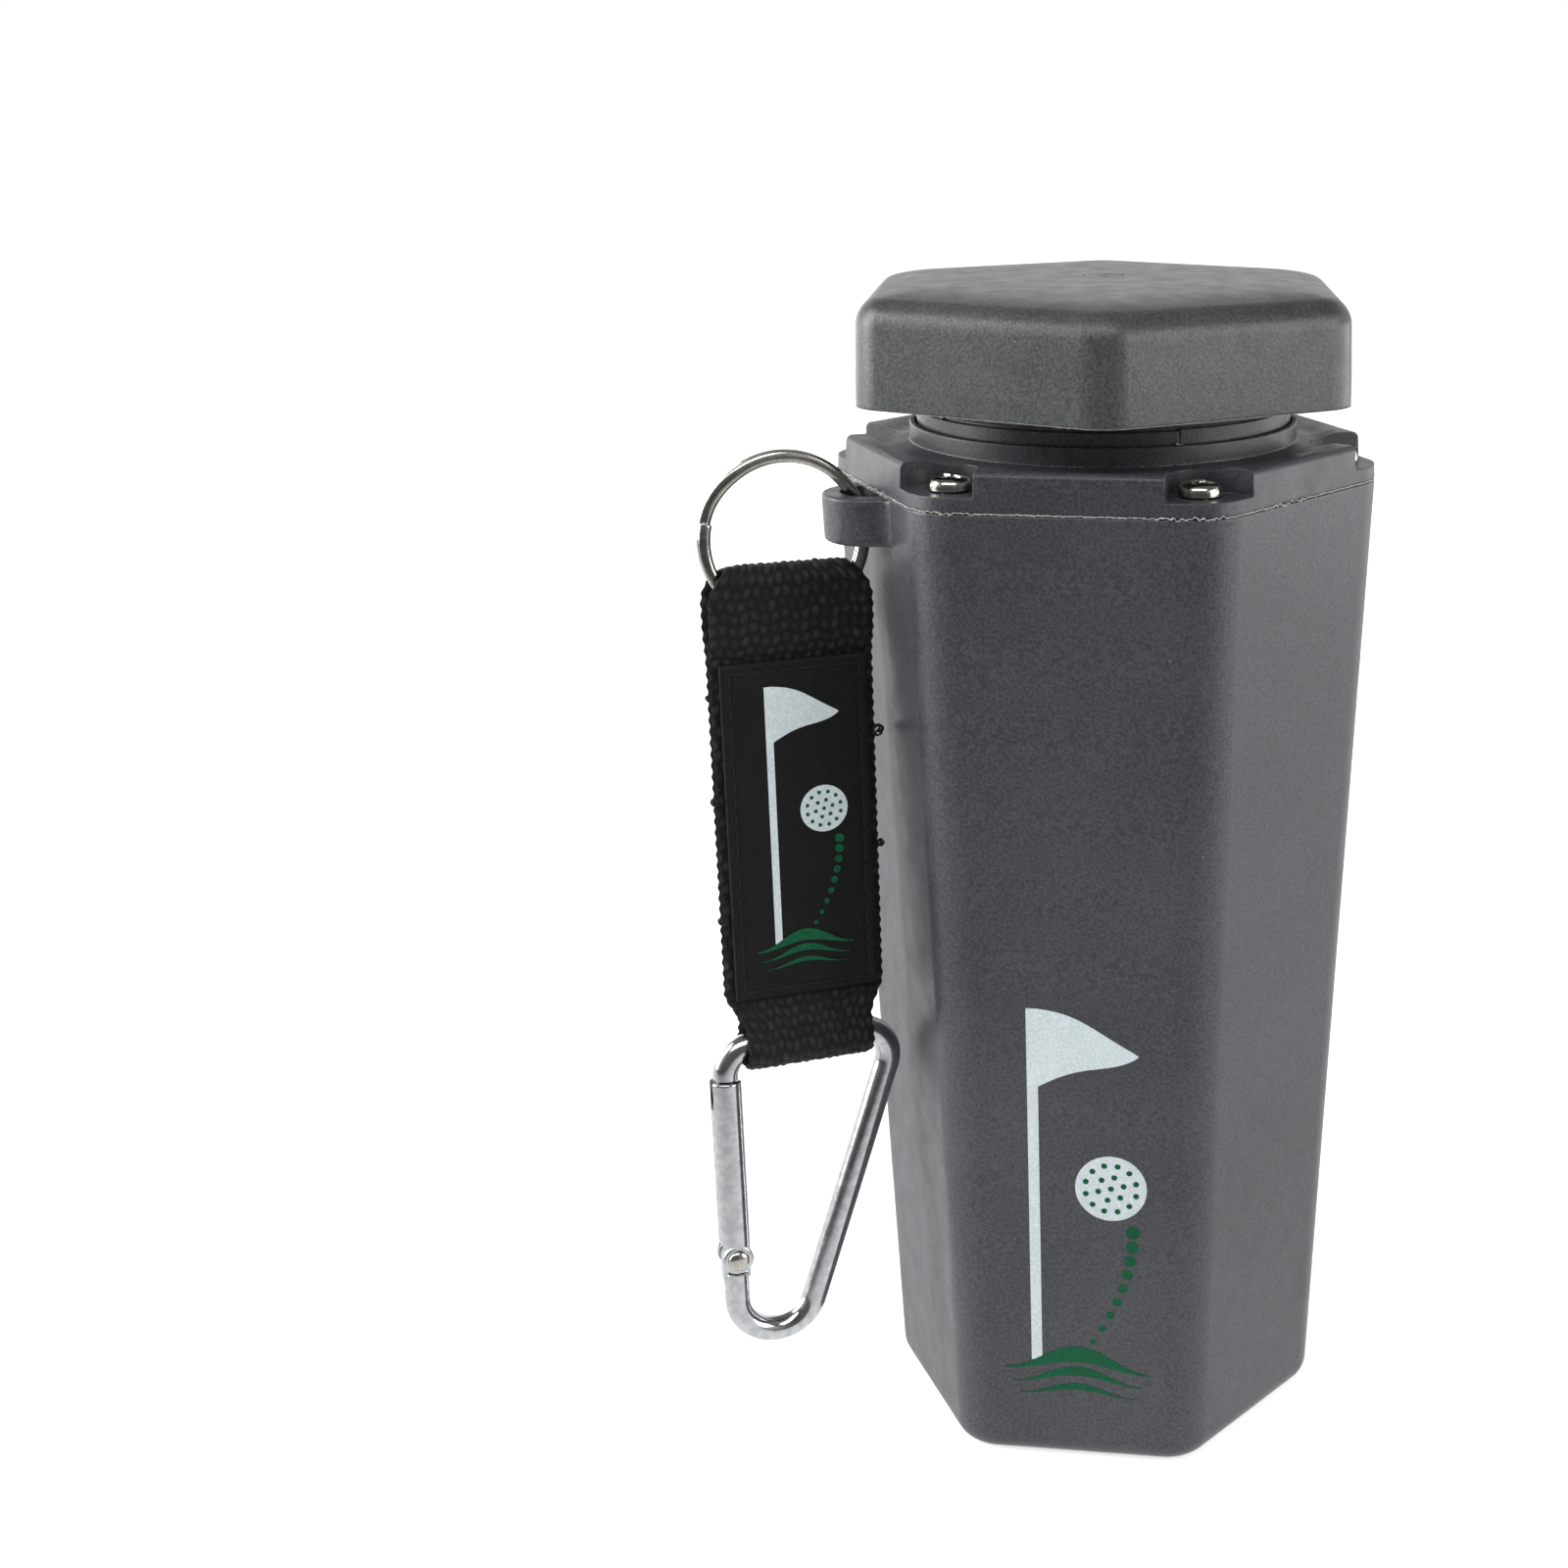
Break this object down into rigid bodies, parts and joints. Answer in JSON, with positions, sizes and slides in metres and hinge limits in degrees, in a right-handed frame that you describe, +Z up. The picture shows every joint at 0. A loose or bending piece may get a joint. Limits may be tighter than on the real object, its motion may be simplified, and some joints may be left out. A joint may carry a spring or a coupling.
{
  "type": "golf ball washer",
  "caption": "Hand-held golf ball washer: tapered hexagonal cup with wire brushes, twist cap that carries a ball paddle, and a webbing strap with a snap hook on its lug.",
  "frame": {"origin": "middle of the flat base, on the surface that it stands on", "axes": "+Z up along the cup, -Y out of the broad front face, the strap lug and its strap on the face towards -X and -Y"},
  "size_m": [0.0999, 0.08, 0.1844],
  "materials": {
    "grey_plastic": "fine grained moulding",
    "black_rubber": "matte seal",
    "plated_steel": "nickel plated",
    "hook_aluminium": "polished",
    "brush_fibre": "nylon strands on a steel wire",
    "black_webbing": "coarse woven polyester"
  },
  "bodies": {
    "washer": {"body_shell": "grey_plastic", "rim_seal": "black_rubber", "collar": "grey_plastic", "collar_screw_1": "plated_steel", "collar_screw_2": "plated_steel", "collar_screw_3": "plated_steel", "collar_screw_4": "plated_steel", "collar_screw_5": "plated_steel", "collar_screw_6": "plated_steel", "brush_1": "brush_fibre", "brush_2": "brush_fibre", "brush_3": "brush_fibre", "brush_4": "brush_fibre"},
    "carrier": {"ball_paddle": "grey_plastic", "swivel_screw": "plated_steel", "swivel_washer": "plated_steel"},
    "cap": {"cap_shell": "grey_plastic", "cap_insert": "grey_plastic", "cap_gasket": "black_rubber"},
    "ring": {"split_ring": "plated_steel"},
    "strap": {"strap_webbing": "black_webbing", "strap_label": "black_webbing"},
    "hook": {"hook_frame": "hook_aluminium", "gate_rivet": "plated_steel"},
    "gate": {"hook_gate": "hook_aluminium"}
  },
  "joints": [
    {"name": "carrier_lift", "type": "slide", "parent": "washer", "child": "carrier", "axis": [0, 0, 1], "range_m": [0, 0.175]},
    {"name": "cap_twist", "type": "hinge", "parent": "carrier", "child": "cap", "pos_m": [0, 0, 0.1753], "axis": [0, 0, -1], "range_deg": [0, 37.75]},
    {"name": "ring_swing", "type": "hinge", "parent": "washer", "child": "ring", "pos_m": [-0.03728, -0.02152, 0.1512], "axis": [-0.866, -0.5, 0], "range_deg": [-15, 15]},
    {"name": "strap_swing", "type": "hinge", "parent": "ring", "child": "strap", "pos_m": [-0.04373, -0.02525, 0.1487], "axis": [-0.5, 0.866, 0], "range_deg": [0, 60]},
    {"name": "hook_swing", "type": "hinge", "parent": "strap", "child": "hook", "pos_m": [-0.04373, -0.02525, 0.0697], "axis": [-0.866, -0.5, 0], "range_deg": [-45, 45]},
    {"name": "gate_open", "type": "hinge", "parent": "hook", "child": "gate", "pos_m": [-0.05521, -0.03188, 0.0339], "axis": [-0.5, 0.866, 0], "range_deg": [0, 25], "stiffness_Nm_per_rad": 0.02, "springref_deg": -11.46}
  ]
}
